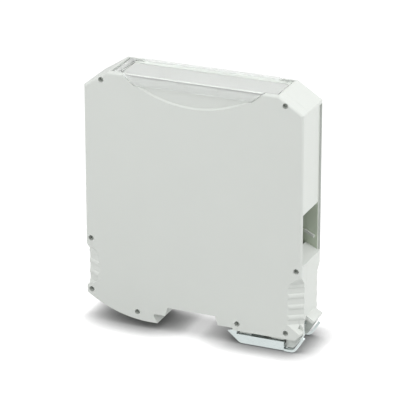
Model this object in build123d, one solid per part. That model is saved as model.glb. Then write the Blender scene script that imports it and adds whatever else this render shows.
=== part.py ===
from build123d import *
from functools import cache
from math import hypot, radians, sin, tan
import os

# Slim enclosure that clips onto a 35 mm top-hat rail, in millimetres.
# X runs along the wide faces, Y through the thickness, Z away from the rail.
# The origin is the middle of the rail slot, at mid thickness, on the plane
# that the rail's lips rest against.

# Top-hat rail that the slot and the latch are made for
rail_width = 35.0
rail_lip_thickness = 1.0
rail_edge_play = 0.4
rail_lip_play = 0.05

# Housing
housing_width = 99.0
housing_thickness = 22.5
height_over_rail = 107.0
shoulder_run = 11.0
shoulder_drop = 7.1
wall = 2.0
face_edge_radius = 1.2
near_shell_depth = 6.0
shell_seam = 0.05

# Rail slot and the hook beside it
slot_rise = 4.0
slot_left_inset = 4.8
slot_left_draft = 1.3
slot_right_inset = 5.8
slot_right_draft = 1.1
hook_drop = 4.0
hook_reach = 1.7
foot_curve_radius = 52.0
foot_curve_rise = 5.6

# Lower edge of the wide faces over the latch
latch_side_gap = 1.1
skirt_drop = 1.0
heel_run = 2.7
heel_rise = 2.6

# Pegs that lock the two shells
peg_diameter = 2.3
peg_play = 0.06
peg_recess = 2.6
boss_diameter = 4.0
top_peg_inset = 8.1
top_peg_drop = 3.9
side_peg_inset = 2.45
side_peg_height = 30.6
curve_peg_rise = 1.2
hook_peg_offset = 7.7
hook_peg_drop = 0.3
latch_peg_offset = 2.0
latch_peg_height = 2.1
foot_peg_offset = 0.6
foot_peg_height = 1.7

# Ribbed finger grips on the lower corners of both wide faces
grip_run = 6.2
grip_depth = 4.0
grip_low = 5.8
grip_high = 24.0
grip_end_rise = 4.3
grip_heel_inner = 11.5
grip_heel_outer = 8.2
rib_count = 4
rib_pitch = 4.9
rib_top = 23.5
rib_radius = 2.0
rib_height = 0.45

# Side windows: connector opening below, blanking plate above
window_low = 32.8
window_drop = 8.5
shelf_run = 6.1
shelf_rise = 3.1
rebate_run = 2.2
rebate_depth = 1.0
plate_low = 54.8
plate_thickness = 1.2
plate_play = 0.1
rail_rib = 1.0
stop_height = 1.4
guide_rib_lift = 4.6
guide_rib_width = 1.2
guide_rib_length = 9.0

# Clear cover, its seat and the plate under it
cover_margin = 1.1
cover_gap = 0.15
cover_end_gap = 0.3
cover_thickness = 1.2
skirt_thickness = 1.0
skirt_inset = 0.2
skirt_shoulder = 5.7
skirt_slant = 5.3
skirt_height = 4.4
knuckle_radius = 1.5
hinge_pin_radius = 1.0
hinge_pin_length = 1.2
hinge_play = 0.06
grip_bead_half = 11.0
grip_bead_height = 1.2
grip_bead_drop = 0.5
finger_recess_sagitta = 11.2
finger_recess_depth = 0.7
front_plate_thickness = 1.4
front_plate_drop = 0.3
front_plate_play = 0.15
ledge_width = 1.2
ledge_height = 1.15
collar_height = 11.6
collar_width = 2.2
end_wall_height = 7.0
end_wall_drop = 1.0

# Foot that carries the latch, with the screwdriver gap and the pry lug
foot_inset = 7.5
foot_wall = 2.0
foot_play = 0.1
cheek_thickness = 1.4
near_cheek = 0.75
gap_ceiling = 7.0
notch_inset = 2.0
notch_top = 9.0
notch_middle = 3.9
notch_low = 2.6
lug_reach = 3.7
lug_drop = 2.1
lug_thickness = 1.2
lug_root_step = 0.5
parting_gap = 0.25
lip_play = 0.3
web_root = 1.0
spring_channel_half = 2.1
spring_channel_top = 1.55
spring_channel_stop = 4.0
pad_width = 1.45
pad_drop = 2.4
pad_gap = 0.8
pad_start = 5.5
pad_length = 5.0

# Metal foot latch, folded from one sheet
sheet = 1.0
latch_travel = 3.0
latch_side_inset = 0.65
latch_top = 2.7
latch_bottom = 6.9
latch_end_gap = 0.3
fold_radius = 0.8
floor_offset = 5.7
claw_bite = 1.7
claw_tip_drop = 2.1
claw_slope = 2.5
claw_top = 1.15
claw_length = 4.4
claw_corner_radius = 3.0
ear_width = 1.7
ear_angle = 58.0
ear_radius = 2.5
ear_reach = 0.8
tongue_gap = 0.3
tongue_radius = 1.5
tongue_bend = -1.0
tongue_tip = (1.1, 1.0)
latch_floor_gap = 0.15
curl_gap = 0.55
guide_offset = 11.2
lip_share = 0.46
lip_width = 3.2
tab_offset = 6.0
tab_half = 2.6
tab_top = 1.6
tab_window_margin = 0.1

# Compression spring between the latch's tab and the foot
spring_outer_radius = 1.7
spring_wire = 0.5
spring_turns = 6
spring_sides = 8
spring_seat_gap = 0.1

half_width = housing_width / 2
half_thickness = housing_thickness / 2
inner_half = half_thickness - wall
parting = -half_thickness + near_shell_depth
slot_left = rail_width / 2 - slot_left_inset
slot_right = rail_width / 2 - slot_right_inset
hook_root = -(rail_width / 2 + rail_edge_play)
latch_side_start = rail_width / 2 + latch_side_gap

ridge_x = half_width - shelf_run
ridge_z = window_low + shelf_rise
window_top = height_over_rail - window_drop
seat_x = half_width - rebate_run
rail_half = inner_half - rail_rib

cover_half = half_width - shoulder_run - cover_margin
cover_low = height_over_rail - cover_thickness
skirt_top_half = cover_half - skirt_shoulder
skirt_low_half = skirt_top_half - skirt_slant
hinge_x = -cover_half + knuckle_radius
hinge_z = height_over_rail - knuckle_radius
opening_half = cover_half + cover_end_gap
front_plate_left = hinge_x + knuckle_radius + cover_end_gap
front_plate_top = cover_low - front_plate_drop
front_plate_low = front_plate_top - front_plate_thickness
collar_inner = inner_half - collar_width

foot_start = half_width - foot_inset
foot_bottom = latch_bottom - sheet - latch_floor_gap
foot_top = gap_ceiling + foot_wall
pocket_half = inner_half - near_cheek
foot_half = pocket_half - foot_play
lug_half = -parting - parting_gap

latch_half = half_thickness - latch_side_inset
latch_right = foot_start - latch_end_gap
claw_tip = rail_width / 2 - claw_bite
latch_floor_left = claw_tip + floor_offset
tab_start = claw_tip + tab_offset
guide_start = claw_tip + guide_offset
lip_length = lip_share * (foot_start - guide_start - latch_travel - 2 * pad_gap)
lip_end = guide_start + lip_length
sheet_middle = latch_bottom - sheet / 2
ear_tip = half_width + ear_reach
ear_corner = ear_tip - sheet_middle / tan(radians(ear_angle))
spring_channel_end = foot_start - spring_channel_stop
pad_spans = [
    (claw_tip + pad_start, claw_tip + pad_start + pad_length),
    (lip_end + latch_travel + pad_gap, foot_start - pad_gap),
]
peg_places = [
    (-half_width + top_peg_inset, height_over_rail - top_peg_drop),
    (half_width - top_peg_inset, height_over_rail - top_peg_drop),
    (-half_width + side_peg_inset, side_peg_height),
    (half_width - side_peg_inset, side_peg_height),
    (-half_width + side_peg_inset, foot_curve_rise + curve_peg_rise),
    (foot_start + foot_peg_offset, foot_peg_height),
    (hook_root - hook_peg_offset, -hook_peg_drop),
    (latch_side_start + latch_peg_offset, latch_peg_height),
]
oversize = 5.0


def slab(profile, y_near, y_far):
    """Solid with a profile drawn in X and Z, from y_near to y_far."""
    return extrude(Pos(0, y_far, 0) * (Plane.XZ * profile), amount=y_far - y_near, dir=(0, -1, 0))


def polygon(*points):
    """Closed face through points in X and Z."""
    return make_face(Polyline(*points, close=True))


def block(x_low, x_high, y_low, y_high, z_low, z_high):
    """Box between two opposite corners."""
    size = (x_high - x_low, y_high - y_low, z_high - z_low)
    return Pos(x_low, y_low, z_low) * Box(*size, align=(Align.MIN, Align.MIN, Align.MIN))


def both_sides(solid):
    """Solid with its mirror image across the middle of the thickness."""
    return solid + mirror(solid, Plane.XZ)


def wide_face(heel_drop, *below):
    """Wide face with the foot's curve; heel_drop lowers the heel, below holds the corners under it."""
    curve_end = (-half_width, foot_curve_rise)
    hook_tip = (hook_root + hook_reach, -hook_drop)
    straight = Polyline(
        curve_end,
        (-half_width, height_over_rail - shoulder_drop),
        (-half_width + shoulder_run, height_over_rail),
        (half_width - shoulder_run, height_over_rail),
        (half_width, height_over_rail - shoulder_drop),
        (half_width, heel_rise - heel_drop),
        (half_width - heel_run, -heel_drop),
        *below,
        hook_tip,
    )
    curve = RadiusArc(hook_tip, curve_end, foot_curve_radius)
    return make_face([straight, curve])


def slot_corners(grow):
    """Corners of the rail slot from the latch side to the hook side, enlarged by grow."""
    return [
        (slot_right + grow, grow),
        (slot_right - slot_right_draft + grow, slot_rise + grow),
        (-slot_left + slot_left_draft - grow, slot_rise + grow),
        (-slot_left - grow, grow),
    ]


@cache
def outer_block():
    """Full outer form, with the long edges of both wide faces rounded."""
    outline = wide_face(
        skirt_drop,
        (latch_side_start, -skirt_drop),
        (latch_side_start, 0),
        *slot_corners(0),
        (hook_root, 0),
        (hook_root, -rail_lip_thickness - rail_lip_play),
    )
    form = slab(outline, -half_thickness, half_thickness)
    rounded = [
        edge
        for edge in form.edges().filter_by(Axis.Y, reverse=True)
        if edge.center().Z > window_low
    ]
    return fillet(rounded, face_edge_radius)


def grip_cutter(side, grow=0.0, ribbed=True):
    """Scoop in the near face's lower corner; side is -1 on the left and 1 on the right."""
    edge_length = hypot(grip_run, grip_depth)
    outward = Vector(side * grip_depth, -grip_run, 0) / edge_length
    start = Vector(side * (half_width - grip_run), -half_thickness, 0) - outward * grow
    low = grip_low - grow
    high = grip_high + grow
    reach = grip_run * grip_depth / edge_length + grow
    section = Polyline(
        (0, low), (reach, low - grip_end_rise), (reach + oversize, low - grip_end_rise),
        (reach + oversize, high + grip_end_rise), (reach, high + grip_end_rise), (0, high), close=True,
    )
    along = outward.cross(Vector(0, 0, 1))
    plane = Plane(origin=start, x_dir=outward, z_dir=along)
    scoop = extrude(plane * make_face(section), amount=half_thickness, both=True)
    if side < 0:
        outer = half_width + oversize
        slope = (grip_heel_inner - grip_heel_outer) / grip_run
        heel = polygon(
            (-half_width + grip_run + oversize, grip_heel_inner + slope * oversize - grow),
            (-outer, grip_heel_outer - slope * oversize - grow),
            (-outer, -height_over_rail),
            (-half_width + grip_run + oversize, -height_over_rail),
        )
        scoop -= slab(heel, -housing_thickness, half_thickness)
    if ribbed:
        for index in range(rib_count):
            centre = start + outward * (rib_height - rib_radius)
            rib_plane = Plane(
                origin=centre + Vector(0, 0, rib_top - index * rib_pitch), x_dir=outward, z_dir=along
            )
            scoop -= extrude(rib_plane * Circle(rib_radius), amount=half_thickness, both=True)
    return scoop


def grip_cutters(grow=0.0, ribbed=True):
    """Scoops in all four lower corners."""
    near = grip_cutter(-1, grow, ribbed) + grip_cutter(1, grow, ribbed)
    return near + mirror(near, Plane.XZ)


def cavity():
    """Space inside the walls, kept clear of the rail slot, the grips and the foot."""
    outline = offset(wide_face(0, (hook_root + hook_reach, 0)), amount=-wall)
    round_slot = polygon(
        (half_width, -hook_drop),
        (half_width, wall),
        *slot_corners(wall),
        (hook_root - wall, wall),
        (hook_root - wall, -hook_drop),
    )
    space = slab(outline, -inner_half, inner_half) - slab(round_slot, -inner_half, inner_half)
    space -= grip_cutters(grow=wall, ribbed=False)
    space -= block(foot_start, half_width, -inner_half, inner_half, -oversize, foot_top)
    return space


def side_window(side):
    """Space cut through a side wall above its shelf, with a rebate that deepens for the blanking plate."""
    slope = shelf_rise / shelf_run
    outer = half_width + oversize
    outer_z = window_low - slope * oversize
    front_x = seat_x + plate_play + plate_thickness
    front_z = ridge_z - slope * (front_x - ridge_x)
    seat_z = plate_low - plate_play
    opening = polygon((ridge_x, ridge_z), (outer, outer_z), (outer, window_top), (ridge_x, window_top))
    rebate = polygon((front_x, front_z), (outer, outer_z), (outer, window_top), (seat_x, window_top),
                     (seat_x, seat_z), (front_x, seat_z))
    rebate_half = inner_half + rebate_depth
    space = slab(opening, -inner_half, inner_half) + slab(rebate, -rebate_half, rebate_half)
    return mirror(space, Plane.YZ) if side < 0 else space


def shelf(side):
    """Sloped sill under a side window."""
    profile = polygon(
        (side * ridge_x, ridge_z),
        (side * half_width, window_low),
        (side * half_width, window_low - wall),
        (side * (half_width - wall), window_low - wall),
        (side * ridge_x, ridge_z - wall),
    )
    return slab(profile, -inner_half, inner_half)


def window_rails(side):
    """Ribs that carry the blanking plate and stop it, and a guide rib over the sill."""
    rail = block(seat_x - rail_rib, seat_x, -inner_half, -rail_half, plate_low - plate_play, window_top)
    stop_back = seat_x - rail_rib - plate_thickness - 2 * plate_play
    stop = block(stop_back, seat_x, -inner_half, -rail_half, plate_low - plate_play - stop_height,
                 plate_low - plate_play)
    lift = ridge_z + guide_rib_lift
    outer_lift = lift - shelf_rise / shelf_run * (shelf_run - rebate_run)
    guide = polygon(
        (ridge_x - guide_rib_length, lift),
        (ridge_x, lift),
        (seat_x, outer_lift),
        (seat_x, outer_lift + guide_rib_width),
        (ridge_x, lift + guide_rib_width),
        (ridge_x - guide_rib_length, lift + guide_rib_width),
    )
    rails = rail + stop + slab(guide, -inner_half, -rail_half)
    if side < 0:
        rails = mirror(rails, Plane.YZ)
    return both_sides(rails)


def cover_profile(grow):
    """Side view of the cover's skirt, enlarged by grow."""
    flare = (skirt_top_half - skirt_low_half) / skirt_height
    low = height_over_rail - skirt_height - grow
    high = height_over_rail + oversize
    low_half = skirt_low_half + grow
    high_half = skirt_top_half + grow + flare * oversize
    return polygon((-low_half, low), (low_half, low), (high_half, high), (-high_half, high))


def cover_seat():
    """Space cut from the shells for the cover, its skirts and the top opening."""
    above = block(-half_width, half_width, -half_thickness, half_thickness, cover_low - cover_gap,
                  height_over_rail + oversize)
    through = slab(cover_profile(cover_gap), -half_thickness, half_thickness) & above
    depth = skirt_inset + skirt_thickness + cover_gap
    pocket = slab(cover_profile(cover_gap), -half_thickness, -half_thickness + depth)
    opening = block(-opening_half, opening_half, -inner_half, inner_half, cover_low - cover_gap,
                    height_over_rail + oversize)
    plate_space = block(front_plate_left, opening_half, -collar_inner, collar_inner,
                        front_plate_low - front_plate_play, height_over_rail)
    knuckle_space = block(-opening_half, front_plate_left, -inner_half, inner_half,
                          hinge_z - knuckle_radius - cover_gap, height_over_rail)
    return through + both_sides(pocket) + opening + plate_space + knuckle_space


def finger_recess():
    """Shallow arc under the cover's skirt on both wide faces, with a bevelled edge."""
    radius = (skirt_top_half**2 + finger_recess_sagitta**2) / (2 * finger_recess_sagitta)
    centre_z = height_over_rail - finger_recess_sagitta + radius
    dish = Cone(radius - finger_recess_depth, radius, finger_recess_depth)
    middle_y = -half_thickness + finger_recess_depth / 2
    return both_sides(Pos(0, middle_y, centre_z) * Rot(90, 0, 0) * dish)


def top_seats():
    """Collars, ledges and end walls that carry the front plate."""
    collar = block(front_plate_left, opening_half, -inner_half, -collar_inner, cover_low - collar_height,
                   cover_low - cover_gap)
    ledge_top = front_plate_low - front_plate_play
    ledge = block(front_plate_left, opening_half, -collar_inner, -collar_inner + ledge_width,
                  ledge_top - ledge_height, ledge_top)
    end_wall = block(opening_half, opening_half + wall, -inner_half, inner_half,
                     height_over_rail - end_wall_height, height_over_rail - end_wall_drop)
    ends = (end_wall + mirror(end_wall, Plane.YZ)) & outer_block()
    return both_sides(collar + ledge) + ends


def hinge_bores():
    """Blind bores in both side walls for the cover's pins."""
    reach = inner_half + hinge_pin_length + cover_gap
    bore = Pos(hinge_x, hinge_z) * Circle(hinge_pin_radius + hinge_play)
    return slab(bore, -reach, reach)


def cheek_profile():
    """Side view of the foot's cheeks, rounded to follow the curl of the latch's ears."""
    angle = radians(ear_angle)
    inward = (sheet / 2 + curl_gap) / sin(angle)
    slanted_x = ear_tip - inward
    corner_x = slanted_x - foot_bottom / tan(angle)
    face_z = (half_width - slanted_x) * tan(angle)
    profile = polygon(
        (foot_start, foot_top),
        (half_width, foot_top),
        (half_width, face_z),
        (corner_x, -foot_bottom),
        (foot_start, -foot_bottom),
    )
    corner = profile.vertices().sort_by_distance((corner_x, -foot_bottom))[0]
    return fillet(corner, ear_radius - sheet / 2)


def pry_lug():
    """Lug that a screwdriver levers against, sloping away from the side wall."""
    slope = lug_drop / lug_reach
    tip_x = half_width + lug_reach
    tip_z = foot_top - lug_root_step - lug_drop
    profile = polygon(
        (half_width - wall, foot_top),
        (half_width, foot_top - lug_root_step),
        (tip_x, tip_z),
        (tip_x - lug_thickness * slope, tip_z - lug_thickness),
        (half_width - wall, gap_ceiling + lug_root_step),
    )
    return slab(profile, -lug_half, lug_half)


def foot():
    """Back wall, roof, cheeks and pry lug round the screwdriver gap, all part of the far shell."""
    profile = cheek_profile()
    cheeks = both_sides(slab(profile, -foot_half, -foot_half + cheek_thickness))
    above_skirt = polygon(
        (foot_start, -skirt_drop), (half_width, -skirt_drop), (half_width, foot_top), (foot_start, foot_top)
    )
    joined = slab(profile & above_skirt, foot_half - cheek_thickness, inner_half)
    back_end = foot_start + foot_wall
    back_profile = polygon((foot_start, foot_top), (back_end, foot_top), (back_end, -foot_bottom),
                           (foot_start, -foot_bottom))
    heel = back_profile.vertices().sort_by_distance((back_end, -foot_bottom))[0]
    back = slab(fillet(heel, tongue_radius - sheet / 2), -foot_half, foot_half)
    roof = block(foot_start, half_width, -foot_half, foot_half, gap_ceiling, foot_top)
    far_cheek = foot_cheek(pocket_half, inner_half)
    return cheeks + joined + back + roof + far_cheek + pry_lug()


def foot_space():
    """Room that the foot takes up between the side walls."""
    return block(foot_start - shell_seam, half_width + oversize, -inner_half, inner_half, -height_over_rail,
                 foot_top + shell_seam)


def screwdriver_gap():
    """Open space between the foot's cheeks, under the lug."""
    return block(foot_start + foot_wall, half_width + oversize, -foot_half, foot_half, -height_over_rail,
                 gap_ceiling)


def foot_cheek(y_near, y_far):
    """Thickening of a side wall beside the screwdriver gap."""
    return block(foot_start, half_width, y_near, y_far, -skirt_drop, foot_top) & outer_block()


def latch_guide():
    """Guide that the latch's lips slide on, with the channel for its spring."""
    head_top = -latch_top - sheet - lip_play
    web = block(guide_start, foot_start, -lug_half, lug_half, -foot_bottom, web_root)
    head = block(guide_start, foot_start, -foot_half, foot_half, -foot_bottom, head_top)
    channel = block(guide_start, spring_channel_end, -spring_channel_half, spring_channel_half,
                    -foot_bottom, -spring_channel_top)
    return web + head - channel


def latch_pads():
    """Ribs inside both skirts that the latch's flanges run under."""
    outer = latch_half - sheet - cover_gap
    pads = Part()
    for start, end in pad_spans:
        pads += block(start, end, -outer, -outer + pad_width, -pad_drop, web_root)
    return both_sides(pads)


def wall_notches():
    """Cuts in the right edge of both wide faces beside the screwdriver gap."""
    notch = polygon(
        (half_width, notch_top),
        (half_width - notch_inset, notch_middle),
        (half_width, notch_low),
        (half_width + oversize, notch_low),
        (half_width + oversize, notch_top),
    )
    return both_sides(slab(notch, -half_thickness, -pocket_half))


def peg(place, diameter, y_near, y_far):
    """Round peg along Y at a place on the wide face."""
    return slab(Pos(place[0], place[1]) * Circle(diameter / 2), y_near, y_far)


def boss(place, y_near, y_far):
    """Round post along Y at a place on the wide face, kept inside the outer form."""
    return peg(place, boss_diameter, y_near, y_far) & outer_block()


def housing_walls():
    """Walls, sills, rails and seats shared by both shells, before they are parted."""
    walls = outer_block() - cavity()
    under = block(latch_side_start, half_width, -inner_half, inner_half, -oversize, 0)
    walls -= under
    for side in (-1, 1):
        walls -= side_window(side)
        walls += shelf(side) + window_rails(side)
    walls += top_seats() + latch_pads()
    walls -= block(foot_start, half_width + oversize, -inner_half, inner_half, -oversize, foot_top)
    return walls


def shell_cuts():
    """Everything cut from both shells after they are built up."""
    return [cover_seat(), finger_recess(), hinge_bores(), grip_cutters(), wall_notches()]


def near_shell():
    """Shallow shell on the near side, with sockets for the pegs."""
    keep = block(-2 * half_width, 2 * half_width, -half_thickness, parting - shell_seam / 2,
                 -height_over_rail, 2 * height_over_rail)
    shell = housing_walls() & keep
    shell += foot_cheek(-inner_half, -pocket_half)
    for place in peg_places:
        shell += boss(place, -inner_half, parting - shell_seam / 2) - foot_space()
    for cut in shell_cuts():
        shell -= cut
    for place in peg_places:
        shell -= peg(place, peg_diameter + 2 * peg_play, -half_thickness, parting)
    return shell


def far_shell():
    """Deep shell on the far side, with the pegs, the foot and the pry lug."""
    keep = block(-2 * half_width, 2 * half_width, parting + shell_seam / 2, half_thickness,
                 -height_over_rail, 2 * height_over_rail)
    shell = housing_walls() & keep
    shell += foot() + latch_guide()
    for place in peg_places:
        shell += boss(place, parting + shell_seam / 2, inner_half) - screwdriver_gap()
    for cut in shell_cuts():
        shell -= cut
    for place in peg_places:
        shell += peg(place, peg_diameter, -half_thickness + peg_recess, parting + wall)
    return shell


def clear_cover():
    """Clear hinged cover with skirts over both wide faces and knuckles at its left end."""
    outer = half_thickness - skirt_inset
    thick = block(-half_width, half_width, -outer, outer, cover_low, height_over_rail)
    cover = slab(cover_profile(0), -outer, outer) & thick
    below = block(-half_width, half_width, -outer, outer, 0, height_over_rail)
    skirt = slab(cover_profile(0), -outer, -outer + skirt_thickness) & below
    cover += both_sides(skirt)
    end = inner_half - cover_gap
    cover += block(hinge_x, cover_half, -end, end, cover_low, height_over_rail)
    cover += slab(Pos(hinge_x, hinge_z) * Circle(knuckle_radius), -end, end)
    pin_end = inner_half + hinge_pin_length
    cover += slab(Pos(hinge_x, hinge_z) * Circle(hinge_pin_radius), -pin_end, pin_end)
    bead_top = height_over_rail - grip_bead_drop
    bead = block(-grip_bead_half, grip_bead_half, -half_thickness, -outer,
                 bead_top - grip_bead_height, bead_top)
    return cover + both_sides(bead)


def front_plate():
    """Plate under the clear cover, resting on the ledges."""
    half = collar_inner - front_plate_play
    return block(front_plate_left + front_plate_play, cover_half, -half, half, front_plate_low,
                 front_plate_top)


def blanking_plate(side):
    """Plate that closes the upper part of a side window, hooked round the ribs there."""
    front_half = inner_half + rebate_depth - plate_play
    rear_half = inner_half - plate_play
    front_back = seat_x + plate_play
    rear_front = seat_x - rail_rib - plate_play
    top = window_top - plate_play
    plate = block(front_back, front_back + plate_thickness, -front_half, front_half, plate_low, top)
    plate += block(rear_front, front_back, -rail_half + plate_play, rail_half - plate_play, plate_low, top)
    plate += block(rear_front - plate_thickness, rear_front, -rear_half, rear_half, plate_low, top)
    return mirror(plate, Plane.YZ) if side < 0 else plate


def claw_flange():
    """Near flange of the latch, with the claw that grips the rail's lip."""
    face = polygon(
        (latch_floor_left, -latch_bottom),
        (latch_right, -latch_bottom),
        (latch_right, -latch_top),
        (claw_tip + claw_length, -latch_top),
        (claw_tip + claw_length, -claw_top),
        (claw_tip + claw_slope, -claw_top),
        (claw_tip, -claw_tip_drop),
    )
    heel = face.vertices().sort_by_distance((latch_floor_left, -latch_bottom))[0]
    return slab(fillet(heel, claw_corner_radius), -latch_half, -latch_half + sheet)


def bent_sheet(radius, *points):
    """Side view of a sheet that follows a bent line through its middle."""
    return trace(FilletPolyline(*points, radius=radius), line_width=sheet)


def latch_ear():
    """Near ear of the latch, curled up round the foot's cheek."""
    ear = bent_sheet(ear_radius, (foot_start, -sheet_middle), (ear_corner, -sheet_middle), (ear_tip, 0))
    return slab(ear, -latch_half, -latch_half + ear_width)


def latch_tongue():
    """Tongue between the ears that a screwdriver pushes."""
    back = foot_start + foot_wall + tongue_gap + sheet / 2
    reach, rise = tongue_tip
    tongue = bent_sheet(
        tongue_radius,
        (latch_floor_left, -sheet_middle),
        (back, -sheet_middle),
        (back, tongue_bend),
        (back + reach, rise),
    )
    return slab(tongue, -lug_half, lug_half)


def latch_channel():
    """Floor and flanges of the latch, with rounded folds."""
    between = latch_half - sheet
    channel = block(latch_floor_left, foot_start, -between, between, -latch_bottom, -latch_bottom + sheet)
    channel += block(tab_start + sheet, foot_start, -latch_half, latch_half, -latch_bottom,
                     -latch_bottom + sheet)
    channel += both_sides(claw_flange())
    folds = [
        edge
        for edge in channel.edges().filter_by(Axis.X).group_by(Axis.Z)[0]
        if abs(edge.center().Y) > between + fold_radius / 2
    ]
    return fillet(folds, fold_radius)


def foot_latch():
    """Metal latch: folded channel with claws, guide lips, spring tab, tongue and curled ears."""
    lip = block(guide_start, lip_end, -latch_half, -latch_half + sheet + lip_width,
                -latch_top - sheet, -latch_top)
    latch = latch_channel() + both_sides(lip + latch_ear()) + latch_tongue()
    latch -= block(tab_start + sheet, guide_start + tab_window_margin, -tab_half, tab_half,
                   -latch_bottom, -latch_bottom + sheet)
    latch += block(tab_start, tab_start + sheet, -tab_half, tab_half, -latch_bottom, -tab_top)
    return latch


def latch_spring():
    """Compression spring that pushes the latch towards the rail."""
    start = tab_start + sheet + spring_seat_gap
    end = spring_channel_end - spring_seat_gap
    radius = spring_outer_radius - spring_wire / 2
    length = end - start - spring_wire
    path = Helix(pitch=length / spring_turns, height=length, radius=radius)
    section = Plane(origin=path @ 0, z_dir=path % 0) * RegularPolygon(spring_wire / 2, spring_sides)
    coil = sweep(section, path=path, is_frenet=True)
    middle_z = (-spring_channel_top - latch_bottom + sheet) / 2
    return Pos(start + spring_wire / 2, 0, middle_z) * Rot(0, 90, 0) * coil


def write(node, solid):
    """Write one piece of the product to its own file."""
    solids = solid.solids()
    piece = solids[0] if len(solids) == 1 else Compound(children=solids)
    piece.label = node
    export_step(piece, os.path.join("parts", node + ".step"))


os.makedirs("parts", exist_ok=True)
write("near_shell", near_shell())
write("far_shell", far_shell())
write("clear_cover", clear_cover())
write("front_plate", front_plate())
write("blanking_plate_left", blanking_plate(-1))
write("blanking_plate_right", blanking_plate(1))
write("foot_latch", foot_latch())
write("latch_spring", latch_spring())
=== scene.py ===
import math

import bpy
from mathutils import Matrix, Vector


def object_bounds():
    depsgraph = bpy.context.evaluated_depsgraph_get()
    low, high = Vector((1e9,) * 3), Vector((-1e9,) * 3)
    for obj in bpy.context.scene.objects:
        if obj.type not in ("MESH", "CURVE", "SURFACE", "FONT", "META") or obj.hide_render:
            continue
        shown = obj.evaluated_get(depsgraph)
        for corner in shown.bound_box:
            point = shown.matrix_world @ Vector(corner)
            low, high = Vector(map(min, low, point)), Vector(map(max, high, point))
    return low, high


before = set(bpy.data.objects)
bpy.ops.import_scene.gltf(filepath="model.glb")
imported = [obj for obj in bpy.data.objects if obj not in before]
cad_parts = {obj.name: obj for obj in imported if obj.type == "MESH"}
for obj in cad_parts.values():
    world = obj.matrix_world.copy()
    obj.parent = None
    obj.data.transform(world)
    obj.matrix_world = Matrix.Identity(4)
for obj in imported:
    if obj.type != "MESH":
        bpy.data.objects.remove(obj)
cad_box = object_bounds()

# The photograph's view: a long lens that looks down on the near face from the right.
# Angles in degrees, the lens and sensor in millimetres and the rest in metres.
VIEW_AZIMUTH = 23.0
VIEW_ELEVATION = 22.0
LENS_MM = 250.0
SENSOR_MM = 36.0
FARTHEST_SEEN = 100.0
IMAGE_PIXELS = 408
PIXELS_PER_METRE = 2365.0
AIM = Vector((0.0007, 0.0, 0.0496))

# Stage, in metres
FLOOR_DROP = 0.0003
FLOOR_SIZE = 6.0
FLOOR_COLOUR = 0.80
FLOOR_SHADE = 0.20
FLOOR_GLOW = 0.94
# Painted contact shadow on the floor: how far it reaches, how dark it gets and its samples
CONTACT_REACH = 0.0125
CONTACT_DEPTH = 2.8
CONTACT_SAMPLES = 16
WORLD_LIGHT = 0.36
WORLD_WHITE = 1.0

# Soft square lamps: azimuth and elevation in degrees, distance and size in metres, power in watts
LAMPS = {
    "key": (98.0, 40.0, 0.9, 0.5, 4.6),
    "fill": (-12.0, 38.0, 0.65, 0.40, 1.75),
    "top": (-30.0, 72.0, 0.55, 0.35, 0.70),
    "back": (152.0, 12.0, 1.2, 0.6, 3.0),
    "left": (262.0, 12.0, 1.2, 0.6, 2.6),
}

# Colours, as linear values
HOUSING_COLOUR = (0.625, 0.650, 0.620)
# Darker, greener colour painted on the inner walls as shade
INSIDE_SHADE_COLOUR = (0.575, 0.640, 0.530)
# The front plate's own grey, darkened further as painted shade under the clear cover
PLATE_GREY_AND_SHADE_COLOUR = (0.495, 0.505, 0.492)
CLEAR_COLOUR = (0.945, 0.952, 0.947)
ZINC_COLOUR = (0.58, 0.635, 0.63)
WIRE_COLOUR = (0.42, 0.43, 0.44)
# Pale colour painted on zones of the clear cover as light, where clear plastic would look dark
PAINTED_LIGHT_MILKY_COLOUR = (0.75, 0.78, 0.75)

# Finishes
NOISE_LOW = 0.3
NOISE_HIGH = 0.7
HOUSING_ROUGHNESS = 0.50
PLATE_ROUGHNESS = 0.42
ZINC_ROUGHNESS = 0.30
WIRE_ROUGHNESS = 0.32
PLASTIC_SPECULAR = 0.45
CLEAR_IOR = 1.06
CLEAR_COAT = 0.25
CLEAR_COAT_ROUGHNESS = 0.04
ROLLING_STRETCH = 0.05

# Where the painted shade inside the shells begins, in metres, and how soon it is reached
INSIDE_DEPTH = 0.00935
SILL_RIDGE = 0.0434
SILL_LOW = 0.0318
WINDOW_EDGE = 0.0493
CAVITY_LOW = 0.0063
CAVITY_HIGH = 0.0985
INSIDE_STEP = 0.0001
SILL_STEP = 0.0008
SILL_LOW_STEP = 0.001
CAVITY_LOW_STEP = 0.0002
CAVITY_HIGH_STEP = 0.0005

# Milky zones of the clear cover, painted pale as light where clear plastic would look dark: how milky
# each is, where it begins and how soon it is reached
MILKY_HINGE_LIGHT = 0.50
MILKY_HINGE_END = -0.0335
MILKY_HINGE_STEP = 0.0012
MILKY_SKIRT_LIGHT = 0.46
MILKY_SKIRT_SIDE = 0.01001
MILKY_SKIRT_STEP = 0.00003
MILKY_SKIRT_END_LIGHT = 0.75
MILKY_SKIRT_TOP = 0.10300
MILKY_EDGE_LIGHT = 0.55
MILKY_EDGE_SIDE = 0.01090
MILKY_EDGE_SIDE_STEP = 0.0001
MILKY_EDGE_LOW = 0.10620
MILKY_LEVEL_STEP = 0.0002


def add_node(tree, kind, **settings):
    """New shader node with its settings."""
    node = tree.nodes.new(kind)
    for key, value in settings.items():
        setattr(node, key, value)
    return node


def joined(tree, operation, first, second=0.0):
    """Two values, each a socket or a number, joined by a mathematical operation."""
    node = add_node(tree, "ShaderNodeMath", operation=operation)
    for value, socket in zip((first, second), node.inputs):
        if isinstance(value, float):
            socket.default_value = value
        else:
            tree.links.new(value, socket)
    return node.outputs["Value"]


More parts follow.
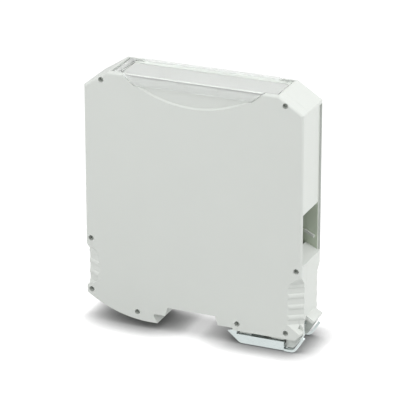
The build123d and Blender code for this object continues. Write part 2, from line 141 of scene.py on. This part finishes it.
def spread(tree, value, span, reach, **settings):
    """Maps a value's span to a range of values."""
    node = add_node(tree, "ShaderNodeMapRange", **settings)
    for name, number in zip(("From Min", "From Max", "To Min", "To Max"), (*span, *reach)):
        node.inputs[name].default_value = number
    tree.links.new(value, node.inputs["Value"])
    return node.outputs["Result"]


def band(tree, value, start, end, height=1.0):
    """Smooth step along a coordinate in metres, from 0 at start to a height at end."""
    return spread(tree, value, (start, end), (0.0, height), interpolation_type="SMOOTHSTEP")


def ramp(tree, texture, low, high):
    """Maps a noise texture to a range of values."""
    return spread(tree, texture.outputs["Fac"], (NOISE_LOW, NOISE_HIGH), (low, high))


def mixed(tree, share, first, second):
    """Colour from one to another as a share goes from 0 to 1; each is a socket or a fixed colour."""
    mix = add_node(tree, "ShaderNodeMix", data_type="RGBA")
    tree.links.new(share, mix.inputs["Factor"])
    for name, colour in (("A", first), ("B", second)):
        if isinstance(colour, tuple):
            mix.inputs[name].default_value = (*colour, 1.0)
        else:
            tree.links.new(colour, mix.inputs[name])
    return mix.outputs["Result"]


def own_place(tree):
    """Distances from the middle along X and Y, then X and the height, in the object's own metres."""
    place = add_node(tree, "ShaderNodeTexCoord")
    parts = add_node(tree, "ShaderNodeSeparateXYZ")
    tree.links.new(place.outputs["Object"], parts.inputs["Vector"])
    along = joined(tree, "ABSOLUTE", parts.outputs["X"])
    across = joined(tree, "ABSOLUTE", parts.outputs["Y"])
    return along, across, parts.outputs["X"], parts.outputs["Z"]


def noise(tree, scale, detail, stretch=(1.0, 1.0, 1.0)):
    """Noise texture in the object's own metres; stretch scales each axis."""
    place = add_node(tree, "ShaderNodeTexCoord")
    mapping = add_node(tree, "ShaderNodeMapping")
    mapping.inputs["Scale"].default_value = stretch
    texture = add_node(tree, "ShaderNodeTexNoise")
    texture.inputs["Scale"].default_value = scale
    texture.inputs["Detail"].default_value = detail
    tree.links.new(place.outputs["Object"], mapping.inputs["Vector"])
    tree.links.new(mapping.outputs["Vector"], texture.inputs["Vector"])
    return texture


def tinted(tree, texture, colour, change):
    """Colour that varies a little with a noise texture."""
    darker = tuple(value * (1 - change) for value in colour)
    lighter = tuple(min(1.0, value * (1 + change)) for value in colour)
    return mixed(tree, texture.outputs["Fac"], darker, lighter)


def bump(tree, texture, distance, strength):
    """Bump from a noise texture, distance in metres."""
    relief = add_node(tree, "ShaderNodeBump")
    relief.inputs["Distance"].default_value = distance
    relief.inputs["Strength"].default_value = strength
    tree.links.new(texture.outputs["Fac"], relief.inputs["Height"])
    return relief.outputs["Normal"]


def empty_tree(owner, output_kind):
    """Node tree of a material or world with nothing in it but its output's surface socket."""
    owner.use_nodes = True
    tree = owner.node_tree
    tree.nodes.clear()
    return tree, add_node(tree, output_kind).inputs["Surface"]


def new_material(name):
    """Material with one Principled shader."""
    material = bpy.data.materials.new(name)
    tree, surface = empty_tree(material, "ShaderNodeOutputMaterial")
    shader = add_node(tree, "ShaderNodeBsdfPrincipled")
    tree.links.new(shader.outputs["BSDF"], surface)
    return material, tree, shader


def painted_inside_shade_share(tree):
    """Is 1 on the walls within the shells, which get a darker, greener colour as painted shade, and 0
    elsewhere.
    """
    along, across, _, height = own_place(tree)
    within = band(tree, across, INSIDE_DEPTH + INSIDE_STEP, INSIDE_DEPTH)
    behind_sills = band(tree, along, SILL_RIDGE, SILL_RIDGE - SILL_STEP)
    on_wall = band(tree, across, INSIDE_DEPTH - 2 * INSIDE_STEP, INSIDE_DEPTH - INSIDE_STEP)
    before_edge = band(tree, along, WINDOW_EDGE, WINDOW_EDGE - SILL_STEP)
    over_sill = band(tree, height, SILL_LOW - SILL_LOW_STEP, SILL_LOW)
    in_window = joined(tree, "MULTIPLY", before_edge, over_sill)
    window_wall = joined(tree, "MULTIPLY", on_wall, in_window)
    covered = joined(tree, "MAXIMUM", behind_sills, window_wall)
    above = band(tree, height, CAVITY_LOW, CAVITY_LOW + CAVITY_LOW_STEP)
    below = band(tree, height, CAVITY_HIGH, CAVITY_HIGH - CAVITY_HIGH_STEP)
    levels = joined(tree, "MULTIPLY", above, below)
    return joined(tree, "MULTIPLY", joined(tree, "MULTIPLY", within, covered), levels)


def moulded_plastic(name, colour, roughness, shade_inside=None):
    """Light moulded plastic with a fine matt texture and slight flow clouds."""
    material, tree, shader = new_material(name)
    clouds = noise(tree, scale=45.0, detail=3.0)
    grain = noise(tree, scale=3200.0, detail=2.0)
    paint = tinted(tree, clouds, colour, change=0.018)
    # The inner walls get a darker, greener colour as painted shade
    if shade_inside:
        paint = mixed(tree, painted_inside_shade_share(tree), paint, shade_inside)
    tree.links.new(paint, shader.inputs["Base Color"])
    tree.links.new(ramp(tree, grain, roughness - 0.05, roughness + 0.06), shader.inputs["Roughness"])
    tree.links.new(bump(tree, grain, distance=0.00003, strength=0.35), shader.inputs["Normal"])
    shader.inputs["Specular IOR Level"].default_value = PLASTIC_SPECULAR
    return material


def painted_light_milkiness(tree):
    """How milky the cover is, as pale painted light where clear plastic would look dark: most at its
    hinge, its skirts' lower ends and its rounded edges.
    """
    _, across, x, height = own_place(tree)
    hinge = band(tree, x, MILKY_HINGE_END, MILKY_HINGE_END - MILKY_HINGE_STEP, MILKY_HINGE_LIGHT)
    skirt = band(tree, across, MILKY_SKIRT_SIDE, MILKY_SKIRT_SIDE + MILKY_SKIRT_STEP, MILKY_SKIRT_LIGHT)
    skirt_end = band(tree, height, MILKY_SKIRT_TOP, MILKY_SKIRT_TOP - MILKY_LEVEL_STEP, MILKY_SKIRT_END_LIGHT)
    outside = band(tree, across, MILKY_EDGE_SIDE, MILKY_EDGE_SIDE + MILKY_EDGE_SIDE_STEP)
    high = band(tree, height, MILKY_EDGE_LOW, MILKY_EDGE_LOW + MILKY_LEVEL_STEP, MILKY_EDGE_LIGHT)
    painted_light_share = joined(tree, "MULTIPLY", outside, high)
    for zone in (hinge, skirt, skirt_end):
        painted_light_share = joined(tree, "MAXIMUM", painted_light_share, zone)
    return painted_light_share


def clear_plastic(name):
    """Clear polished plastic with faint ripples from the mould and milky zones of pale painted light."""
    material, tree, shader = new_material(name)
    ripple = noise(tree, scale=160.0, detail=1.0)
    haze = noise(tree, scale=500.0, detail=2.0)
    painted_light_share = painted_light_milkiness(tree)
    paint = mixed(tree, painted_light_share, tinted(tree, ripple, CLEAR_COLOUR, change=0.01), PAINTED_LIGHT_MILKY_COLOUR)
    tree.links.new(paint, shader.inputs["Base Color"])
    tree.links.new(joined(tree, "SUBTRACT", 1.0, painted_light_share), shader.inputs["Transmission Weight"])
    tree.links.new(ramp(tree, haze, 0.03, 0.05), shader.inputs["Roughness"])
    tree.links.new(bump(tree, ripple, distance=0.0002, strength=0.05), shader.inputs["Normal"])
    shader.inputs["IOR"].default_value = CLEAR_IOR
    shader.inputs["Coat Weight"].default_value = CLEAR_COAT
    shader.inputs["Coat Roughness"].default_value = CLEAR_COAT_ROUGHNESS
    return material


def zinc_metal(name, colour, roughness):
    """Bright plated metal, with fine rolling lines along X and soft cloudy spangle."""
    material, tree, shader = new_material(name)
    lines = noise(tree, scale=5200.0, detail=2.0, stretch=(ROLLING_STRETCH, 1.0, 1.0))
    clouds = noise(tree, scale=180.0, detail=3.0)
    tree.links.new(tinted(tree, clouds, colour, change=0.07), shader.inputs["Base Color"])
    tree.links.new(ramp(tree, lines, roughness - 0.06, roughness + 0.08), shader.inputs["Roughness"])
    tree.links.new(bump(tree, lines, distance=0.00002, strength=0.3), shader.inputs["Normal"])
    shader.inputs["Metallic"].default_value = 1.0
    return material


def dress_nodes():
    """Gives every CAD node its finish."""
    # The housing's inner walls get painted shade
    housing = moulded_plastic("housing_plastic", HOUSING_COLOUR, HOUSING_ROUGHNESS, shade_inside=INSIDE_SHADE_COLOUR)
    finishes = {
        "near_shell": housing,
        "far_shell": housing,
        "blanking_plate_left": housing,
        "blanking_plate_right": housing,
        # Front plate: its own grey, darkened as painted shade
        "front_plate": moulded_plastic("plate_plastic", PLATE_GREY_AND_SHADE_COLOUR, PLATE_ROUGHNESS),
        "clear_cover": clear_plastic("clear_plastic"),
        "foot_latch": zinc_metal("latch_steel", ZINC_COLOUR, ZINC_ROUGHNESS),
        "latch_spring": zinc_metal("spring_steel", WIRE_COLOUR, WIRE_ROUGHNESS),
    }
    for node, material in finishes.items():
        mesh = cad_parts[node].data
        mesh.materials.clear()
        mesh.materials.append(material)


def seen_directly(tree):
    """Is 1 for what the camera sees, also in gloss and through clear parts, and 0 for light."""
    path = add_node(tree, "ShaderNodeLightPath")
    seen = joined(tree, "MAXIMUM", path.outputs["Is Camera Ray"], path.outputs["Is Glossy Ray"])
    return joined(tree, "MAXIMUM", seen, path.outputs["Is Transmission Ray"])


def shader_between(tree, share, first, second):
    """Shader that goes from one to another as a share goes from 0 to 1."""
    mix = add_node(tree, "ShaderNodeMixShader")
    tree.links.new(share, mix.inputs["Fac"])
    tree.links.new(first, mix.inputs[1])
    tree.links.new(second, mix.inputs[2])
    return mix.outputs["Shader"]


def white_background(tree, strength):
    """White surround of a strength."""
    background = add_node(tree, "ShaderNodeBackground")
    background.inputs["Color"].default_value = (1.0, 1.0, 1.0, 1.0)
    background.inputs["Strength"].default_value = strength
    return background.outputs["Background"]


def build_world():
    """Soft surround that reads as white behind the object."""
    world = bpy.data.worlds.new("studio")
    bpy.context.scene.world = world
    tree, surface = empty_tree(world, "ShaderNodeOutputWorld")
    light = white_background(tree, WORLD_LIGHT)
    white = white_background(tree, WORLD_WHITE)
    tree.links.new(shader_between(tree, seen_directly(tree), light, white), surface)


def grey_paper(tree, level):
    """Matt grey of a level."""
    paper = add_node(tree, "ShaderNodeBsdfDiffuse")
    paper.inputs["Color"].default_value = (level, level, level, 1.0)
    return paper.outputs["BSDF"]


def floor_glow(tree):
    """Glow of the floor, which fades out close to whatever stands on it as a painted contact shadow, but
    not in gloss.
    """
    contact = add_node(tree, "ShaderNodeAmbientOcclusion", samples=CONTACT_SAMPLES)
    contact.inputs["Distance"].default_value = CONTACT_REACH
    path = add_node(tree, "ShaderNodeLightPath")
    open_floor = joined(tree, "POWER", contact.outputs["AO"], CONTACT_DEPTH)
    level = joined(tree, "MAXIMUM", open_floor, path.outputs["Is Glossy Ray"])
    glow = add_node(tree, "ShaderNodeEmission")
    tree.links.new(joined(tree, "MULTIPLY", level, FLOOR_GLOW), glow.inputs["Strength"])
    return glow.outputs["Emission"]


def floor_paper():
    """White floor finish that keeps the object's shadow and can be looked through from below."""
    material = bpy.data.materials.new("floor_paper")
    tree, surface = empty_tree(material, "ShaderNodeOutputMaterial")
    shown = add_node(tree, "ShaderNodeAddShader")
    tree.links.new(grey_paper(tree, FLOOR_SHADE), shown.inputs[0])
    tree.links.new(floor_glow(tree), shown.inputs[1])
    paper = grey_paper(tree, FLOOR_COLOUR)
    upper = shader_between(tree, seen_directly(tree), paper, shown.outputs["Shader"])
    side = add_node(tree, "ShaderNodeNewGeometry").outputs["Backfacing"]
    clear = add_node(tree, "ShaderNodeBsdfTransparent").outputs["BSDF"]
    tree.links.new(shader_between(tree, side, upper, clear), surface)
    return material


def build_floor():
    """Plain pale floor just under the object."""
    height = cad_box[0][2] - FLOOR_DROP
    half = FLOOR_SIZE / 2
    corners = [(-half, -half, height), (half, -half, height), (half, half, height), (-half, half, height)]
    mesh = bpy.data.meshes.new("floor")
    mesh.from_pydata(corners, [], [(0, 1, 2, 3)])
    mesh.materials.append(floor_paper())
    floor = bpy.data.objects.new("floor", mesh)
    bpy.context.scene.collection.objects.link(floor)


def place_facing(name, data, azimuth, elevation, distance):
    """Puts a lamp or camera round the object, looking at its middle; angles in degrees."""
    azimuth, elevation = math.radians(azimuth), math.radians(elevation)
    direction = Vector((
        math.sin(azimuth) * math.cos(elevation),
        -math.cos(azimuth) * math.cos(elevation),
        math.sin(elevation),
    ))
    holder = bpy.data.objects.new(name, data)
    bpy.context.scene.collection.objects.link(holder)
    holder.location = AIM + direction * distance
    holder.rotation_euler = (-direction).to_track_quat("-Z", "Y").to_euler()
    return holder


def build_lamps():
    """Soft square lights round the object."""
    for name, (azimuth, elevation, distance, size, power) in LAMPS.items():
        lamp = bpy.data.lights.new(name, "AREA")
        lamp.shape = "SQUARE"
        lamp.size = size
        lamp.energy = power
        place_facing(name, lamp, azimuth, elevation, distance)


def build_camera():
    """Camera at the photograph's angle, with the object as large as it is there."""
    data = bpy.data.cameras.new("camera")
    data.lens = LENS_MM
    data.sensor_width = SENSOR_MM
    data.clip_end = FARTHEST_SEEN
    distance = LENS_MM / SENSOR_MM * IMAGE_PIXELS / PIXELS_PER_METRE
    bpy.context.scene.camera = place_facing("camera", data, VIEW_AZIMUTH, VIEW_ELEVATION, distance)


build_camera()
dress_nodes()
build_world()
build_floor()
build_lamps()
bpy.context.scene.view_settings.view_transform = "Standard"
